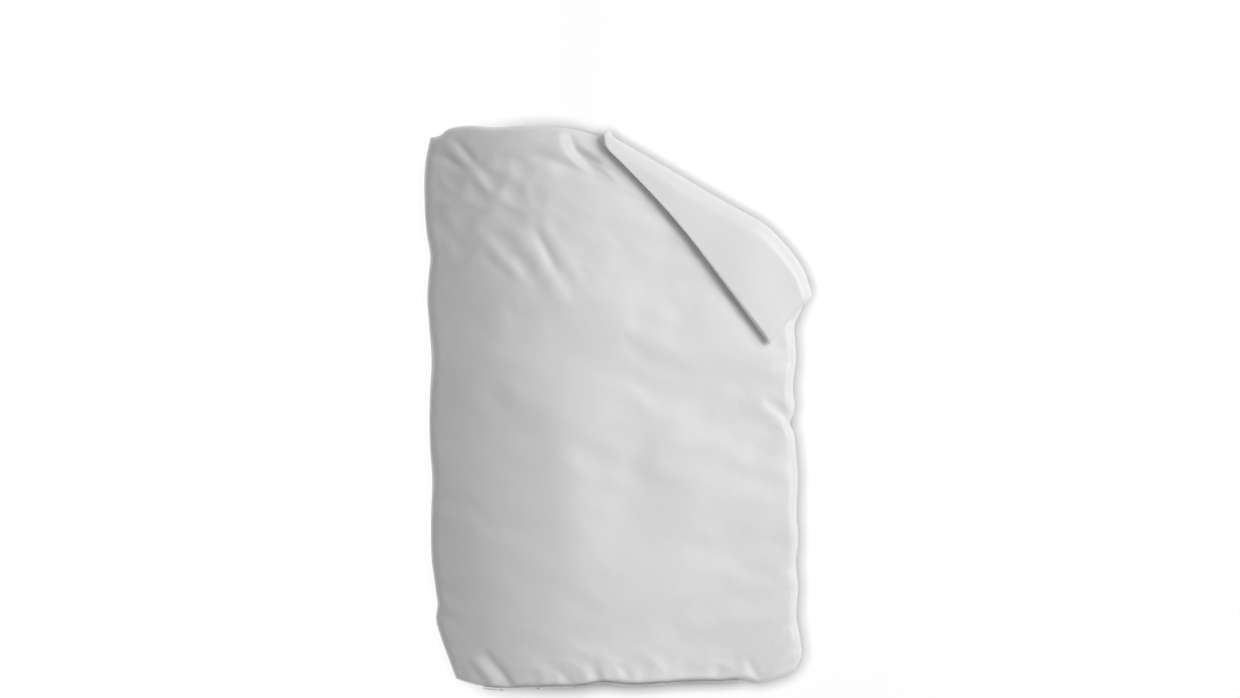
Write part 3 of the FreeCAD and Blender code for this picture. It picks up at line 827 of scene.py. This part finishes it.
def settle(piece, s, t):
    """Let the cover, cut a little larger than its filling, buckle into creases on it.
    The filling holds each point softly, the seams and the turned corner more firmly."""
    pick(piece)
    before = points_of(piece).copy()
    on_top = before[:, 2] > parting_height(before[:, :2])
    rim = np.minimum(np.minimum(s, 1 - s), np.minimum(t, 1 - t)) < 1e-6
    held = np.where(corner_shares(plan_of(s, t))[1] > -0.05, HELD_CORNER, HELD_FLAT)
    held = np.where(rim, HELD_SEAM, held)
    for name, weights in (("held", held), ("slack", slack_at(before, on_top))):
        group = piece.vertex_groups.new(name=name)
        for i, weight in enumerate(weights):
            group.add([i], float(weight), "REPLACE")
    cloth = piece.modifiers.new("cloth", "CLOTH")
    settings = cloth.settings
    settings.quality = 5
    settings.mass = 0.15
    settings.tension_stiffness = CLOTH_STRETCH
    settings.compression_stiffness = CLOTH_STRETCH
    settings.shear_stiffness = CLOTH_STRETCH / 3
    settings.bending_stiffness = CLOTH_BENDING
    settings.vertex_group_shrink = "slack"
    settings.shrink_min = -SLACK_LEAST
    settings.shrink_max = -SLACK_MOST
    settings.vertex_group_mass = "held"
    settings.pin_stiffness = 1
    settings.effector_weights.gravity = 0
    cloth.point_cache.frame_start = 1
    cloth.point_cache.frame_end = CLOTH_FRAMES
    scene = bpy.context.scene
    for step in range(1, CLOTH_FRAMES + 1):
        scene.frame_set(step)
    bpy.ops.object.modifier_apply(modifier=cloth.name)
    scene.frame_set(1)
    piece.vertex_groups.clear()
    move = points_of(piece) - before
    size = np.linalg.norm(move, axis=1, keepdims=True)
    points = before + move * (np.tanh(size / CLOTH_CAP) * CLOTH_CAP / np.maximum(size, 1e-9))
    parting = parting_height(points[:, :2])
    clear = np.where(on_top, np.maximum(points[:, 2], parting + LAYER_GAP),
                     np.minimum(points[:, 2], parting - LAYER_GAP))
    points[:, 2] = np.maximum(clear, 0)
    set_points(piece, points)


def blend_corner(piece):
    """Bakes the piece's placement into its points."""
    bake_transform(piece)


# ---------------------------------------------------------------- operators
class DUVET_OT_cover(bpy.types.Operator):
    """Sewn cotton cover, filled out, with its head corner turned back"""
    bl_idname = "duvet.cover"
    bl_label = "Cover"

    def execute(self, context):
        shape = context.scene.duvet_shape
        cloth = context.scene.duvet_cloth
        piece, s, t = shell("duvet_cover", shape.columns, shape.rows)
        settle(piece, s, t)
        apply_modifier(piece, "SUBSURF", levels=1, render_levels=1)
        smooth(piece)
        finish(piece, cloth_material("cover_cotton", cloth.cover, cloth.weave_pitch))
        blend_corner(piece)
        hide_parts("cover_top_panel", "cover_under_panel", "left_seam", "right_seam",
                    "head_seam", "foot_seam_left", "foot_seam_right", "corner_topside_panel",
                    "corner_underside_panel", "corner_head_seam", "corner_side_seam")
        return {"FINISHED"}


class DUVET_OT_insert(bpy.types.Operator):
    """Box-stitched insert: its shell, filling and cassette seams in one soft body"""
    bl_idname = "duvet.insert"
    bl_label = "Insert"

    def execute(self, context):
        cloth = context.scene.duvet_cloth
        piece = shell("duvet_insert", 96, 144, INSERT_DEPTH, INSERT_GAP, quilted=True)[0]
        apply_modifier(piece, "SUBSURF", levels=1, render_levels=1)
        smooth(piece)
        finish(piece, cloth_material("ticking_cotton", cloth.ticking, cloth.weave_pitch * 0.8))
        blend_corner(piece)
        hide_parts("insert_top_ticking", "insert_under_ticking", "lengthwise_baffles",
                    "crosswise_baffles", "corner_topside_ticking", "corner_underside_ticking",
                    "corner_fill", "corner_baffles", *[f"fill_row_{i}" for i in range(1, 7)])
        return {"FINISHED"}


class DUVET_OT_binding(bpy.types.Operator):
    """Tape that binds the insert's edge all round, over the crease too"""
    bl_idname = "duvet.binding"
    bl_label = "Binding"

    def execute(self, context):
        s, t = rim_places(INSERT_GAP, 900)
        yes = np.ones(len(s), bool)
        path = lie_down(s, t, yes, INSERT_DEPTH, INSERT_GAP)
        piece = closed_band("insert_edge_binding", path, *BINDING_HALVES)
        smooth(piece)
        finish(piece, tape_material(context))
        blend_corner(piece)
        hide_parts("insert_binding", "corner_binding")
        return {"FINISHED"}


class DUVET_OT_ties(bpy.types.Operator):
    """Corner ties on the cover and the insert's loops that they hook through"""
    bl_idname = "duvet.ties"
    bl_label = "Ties and loops"

    def execute(self, context):
        ties, loops = [], []
        for side, end in ((0, 1), (0, 0), (1, 0), (1, 1)):
            turned = (side, end) == (1, 1)
            outer = corner_place(side, end, TIE_INSET)
            inner = corner_place(side, end, INSERT_GAP - LOOP_INSET)
            middle = (outer + inner) / 2
            way = (inner - outer) / np.linalg.norm(inner - outer)
            level_way = np.cross(way, (0, 0, 1))
            level_way /= np.linalg.norm(level_way)
            tie_end = middle + way * LINK_DEPTH
            rise = np.array((0, 0, TIE_RISE))
            tie_path = [outer, middle + rise, tie_end, middle - rise, outer - rise * 0.2]
            tie = tape("tie", tie_path, level_way, *TIE_TAPE)
            loop_start = middle - way * LINK_DEPTH
            reach = level_way * LOOP_REACH
            loop_path = [inner - reach, middle - reach, loop_start, middle + reach, inner + reach]
            loop = tape("loop", loop_path, (0, 0, 1), *LOOP_TAPE)
            if turned:
                finish(join("corner_cover_tie", [tie]), tape_material(context))
                finish(join("corner_insert_loop", [loop]), tape_material(context))
                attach(tie, "turned_corner")
                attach(loop, "turned_corner")
                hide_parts("corner_tie")
                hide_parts("corner_loop")
            else:
                ties.append(tie)
                loops.append(loop)
        for name, pieces, node in (("cover_corner_ties", ties, "cover_ties"),
                                   ("insert_corner_loops", loops, "insert_loops")):
            piece = finish(join(name, pieces), tape_material(context))
            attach(piece, "duvet")
            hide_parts(node)
        return {"FINISHED"}


class DUVET_OT_labels(bpy.types.Operator):
    """Plain care label in the side seam and size label sewn on the insert"""
    bl_idname = "duvet.labels"
    bl_label = "Labels"

    def execute(self, context):
        length = 2 * HALF_LENGTH
        low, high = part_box("care_label")
        t = (np.array([low.y, (low.y + high.y) / 2, high.y]) + HALF_LENGTH) / length
        for name, node, (inset, level, across, half_width) in (
                ("folded_care_label", "care_label", CARE_LABEL),
                ("sewn_size_label", "insert_label", SIZE_LABEL)):
            s = np.full(3, inset / (2 * HALF_WIDTH))
            path = inside(s, t, level, INSERT_DEPTH * 0.5)
            piece = tape(name, path, across, half_width, LABEL_HALF_THICKNESS)
            finish(piece, tape_material(context))
            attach(piece, "duvet")
            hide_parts(node)
        return {"FINISHED"}


def foot_line(x):
    """Places along the foot edge of the cover in plan, for x within the mouth."""
    places = np.linspace(0, 1, 400)
    edge = smooth_curve(FOOT_EDGE, places)
    return np.interp(x, edge[:, 0], edge[:, 1])


def hem(name, stand_off, low, high, rows=300):
    """A hem band that follows the foot edge across the mouth."""
    piece = new_grid(name, rows, 10)
    grid = points_of(piece)
    x = grid[:, 0] * HEM_HIGH.x
    share = (grid[:, 1] + 1) / 2
    z = low + (high - low) * share
    wave = 0.0006 * lumps(x, z, 31, 0.09)
    lean = -0.002 * (1 - share)
    y = foot_line(x) - stand_off + wave + lean
    set_flat_uv(piece, np.column_stack((x, z)))
    set_points(piece, np.column_stack((x, y, z)))
    apply_modifier(piece, "SOLIDIFY", thickness=HEM_THICKNESS, offset=0)
    apply_modifier(piece, "BEVEL", width=0.0004, segments=2, limit_method="ANGLE")
    smooth(piece)
    return piece


class DUVET_OT_closure(bpy.types.Operator):
    """The two hems of the buttoned foot edge, with their press studs"""
    bl_idname = "duvet.closure"
    bl_label = "Closure"

    def execute(self, context):
        cloth = context.scene.duvet_cloth
        cotton = cloth_material("cover_cotton", cloth.cover, cloth.weave_pitch)
        plastic = plastic_material("popper_plastic", cloth.popper)
        hinge = Vector(HEM_HINGE["pos_m"])
        lower = finish(hem("lower_hem_band", LOWER_HEM_OUT, HEM_LOW.z, HEM_HIGH.z), cotton)
        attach(lower, "duvet")
        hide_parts("lower_hem")
        upper_top = hinge.z + HEM_TURN_IN
        upper = finish(hem("upper_hem_band", UPPER_HEM_OUT, HEM_LOW.z, upper_top), cotton)
        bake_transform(upper)
        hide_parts("upper_hem")
        studs, sockets = [], []
        middle = (HEM_LOW.z + HEM_HIGH.z) / 2
        for i in range(POPPER_COUNT):
            x = (i - (POPPER_COUNT - 1) / 2) * STUD_PITCH
            y = float(foot_line(x))
            studs.append(self.disc((x, y - 0.0030, middle), [
                (0.0000, 0.0050), (0.0006, 0.0050), (0.0010, 0.0044), (0.0009, 0.0024),
                (0.0018, 0.0017), (0.0028, 0.0021), (0.0032, 0.0014), (0.0032, 0.0)]))
            sockets.append(self.disc((x, y - 0.0044, middle), [
                (0.0000, 0.0024), (0.0000, 0.0050), (0.0020, 0.0051), (0.0026, 0.0046),
                (0.0028, 0.0034), (0.0023, 0.0024), (0.0022, 0.0)]))
        for name, pieces, node, body in (("popper_stud_row", studs, "popper_studs", "duvet"),
                                         ("popper_socket_row", sockets, "popper_sockets",
                                          "closure_flap")):
            piece = finish(join(name, pieces), plastic)
            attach(piece, body)
            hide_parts(node)
        return {"FINISHED"}

    def disc(self, place, outline):
        """A turned disc that stands out from the foot face; outline is (out, radius)."""
        steps = 24
        deselect()
        bpy.ops.mesh.primitive_circle_add(vertices=steps, radius=outline[0][1], fill_type="NOTHING")
        piece = bpy.context.object
        bpy.ops.object.mode_set(mode="EDIT")
        bpy.ops.mesh.select_all(action="SELECT")
        for (out, radius), (next_out, next_radius) in zip(outline, outline[1:]):
            bpy.ops.mesh.extrude_region_move(
                TRANSFORM_OT_translate={"value": (0, 0, next_out - out)})
            if next_radius == 0:
                bpy.ops.mesh.merge(type="CENTER")
            elif next_radius != radius:
                grow = next_radius / radius
                bpy.ops.transform.resize(value=(grow, grow, 1))
        bpy.ops.mesh.select_all(action="SELECT")
        bpy.ops.mesh.normals_make_consistent(inside=False)
        bpy.ops.object.mode_set(mode="OBJECT")
        points = points_of(piece)
        x, y, z = place
        set_points(piece, np.column_stack((points[:, 0] + x, y - points[:, 2], points[:, 1] + z)))
        pick(piece)
        bpy.ops.object.shade_smooth_by_angle(angle=math.radians(40))
        return piece


class DUVET_OT_stage(bpy.types.Operator):
    """Pale floor with a painted glow and a painted drop shadow, soft lamps and the camera overhead"""
    bl_idname = "duvet.stage"
    bl_label = "Stage"

    def execute(self, context):
        stage = context.scene.duvet_stage
        deselect()
        bpy.ops.mesh.primitive_grid_add(x_subdivisions=8, y_subdivisions=8, size=14,
                                        location=(0, 0, -0.001))
        floor = context.object
        floor.name = "floor"
        bpy.ops.object.transform_apply(location=True)
        n = Nodes("floor_painted_glow_and_shadow")
        place = n.add("ShaderNodeTexCoord", output=3)
        tone = n.noise(place, 1.5, 2.0)
        base = n.mix(tone, rgba(stage.floor, FLOOR_SHADE * 0.99), rgba(stage.floor, FLOOR_SHADE))
        # The floor's glow is painted light: stronger where the key lamp does not reach, so that the
        # floor looks evenly white.
        lit = n.add("ShaderNodeMapRange", {"interpolation_type": "SMOOTHSTEP"}, {
            "Value": n.separate(place)[0], "From Min": LIT_FLOOR[0], "From Max": LIT_FLOOR[1]})
        glow = n.mix(lit, rgba(stage.floor, stage.floor_glow),
                     rgba(stage.floor, stage.floor_glow * LIT_SHARE))
        # Painted drop shadow: the glow dims close to the duvet, found by ambient occlusion, more
        # strongly on the lamp-lit side.
        open_sky = n.add("ShaderNodeAmbientOcclusion", {"samples": 8}, {"Distance": SHADE_REACH}, 1)
        painted_drop_shadow = (1 - open_sky * open_sky) * (SHADE_UNLIT + lit * (1 - SHADE_UNLIT))
        glow = n.mix(painted_drop_shadow, glow, rgba(stage.floor, 0.0))
        floor.data.materials.append(n.surface(
            Base_Color=base, Roughness=0.9, Specular_IOR_Level=0.1,
            Emission_Color=glow, Emission_Strength=1.0))
        self.lamp("key_lamp", KEY_LAMP, stage.key_power, (1.0, 0.995, 0.985))
        self.lamp("side_lamp", SIDE_LAMP, stage.side_power, (1.0, 0.99, 0.98))
        world = bpy.data.worlds.new("soft_sky")
        world.use_nodes = True
        back = world.node_tree.nodes["Background"]
        back.inputs["Color"].default_value = (0.97, 0.975, 1.0, 1)
        back.inputs["Strength"].default_value = stage.sky
        context.scene.world = world
        context.scene.view_settings.view_transform = "Standard"
        bpy.ops.object.camera_add(location=(0.028, 0.197, stage.camera_height), rotation=(0, 0, 0))
        camera = context.object
        camera.data.sensor_width = 36
        camera.data.lens = 36 * stage.camera_height / stage.view_width
        context.scene.camera = camera
        return {"FINISHED"}

    def lamp(self, name, place, power, colour):
        """A rectangular soft box whose long side runs beside the duvet."""
        azimuth, elevation = math.radians(place["azimuth"]), math.radians(place["elevation"])
        way = Vector((math.cos(elevation) * math.cos(azimuth),
                      math.cos(elevation) * math.sin(azimuth), math.sin(elevation)))
        bpy.ops.object.light_add(type="AREA", location=Vector(place["aim"]) + way * place["distance"])
        lamp = bpy.context.object
        lamp.name = name
        lamp.visible_camera = False
        lamp.data.shape = "RECTANGLE"
        lamp.data.size = place["length"]
        lamp.data.size_y = place["width"]
        lamp.data.spread = math.radians(place["spread"])
        lamp.data.energy = power
        lamp.data.color = colour
        along = (Vector((0, 1, 0)) - way * way.y).normalized()
        lamp.rotation_euler = Matrix((along, way.cross(along), way)).transposed().to_euler()


class DUVET_PT_panel(bpy.types.Panel):
    bl_label = "Duvet"
    bl_idname = "DUVET_PT_panel"
    bl_space_type = "VIEW_3D"
    bl_region_type = "UI"
    bl_category = "Duvet"

    def draw(self, context):
        for operator in OPERATORS:
            self.layout.operator(operator.bl_idname)


OPERATORS = (DUVET_OT_stage, DUVET_OT_cover, DUVET_OT_insert, DUVET_OT_binding, DUVET_OT_ties,
             DUVET_OT_labels, DUVET_OT_closure)
GROUPS = {"duvet_shape": DuvetShape, "duvet_cloth": DuvetCloth, "duvet_stage": DuvetStage}


def register():
    for cls in (*GROUPS.values(), *OPERATORS, DUVET_PT_panel):
        bpy.utils.register_class(cls)
    for name, group in GROUPS.items():
        setattr(bpy.types.Scene, name, bpy.props.PointerProperty(type=group))


def unregister():
    for name in GROUPS:
        delattr(bpy.types.Scene, name)
    for cls in reversed((*GROUPS.values(), *OPERATORS, DUVET_PT_panel)):
        bpy.utils.unregister_class(cls)


def main():
    register()
    bpy.ops.duvet.stage()
    bpy.ops.duvet.cover()
    bpy.ops.duvet.insert()
    bpy.ops.duvet.binding()
    bpy.ops.duvet.ties()
    bpy.ops.duvet.labels()
    bpy.ops.duvet.closure()


if __name__ == "__main__":
    main()
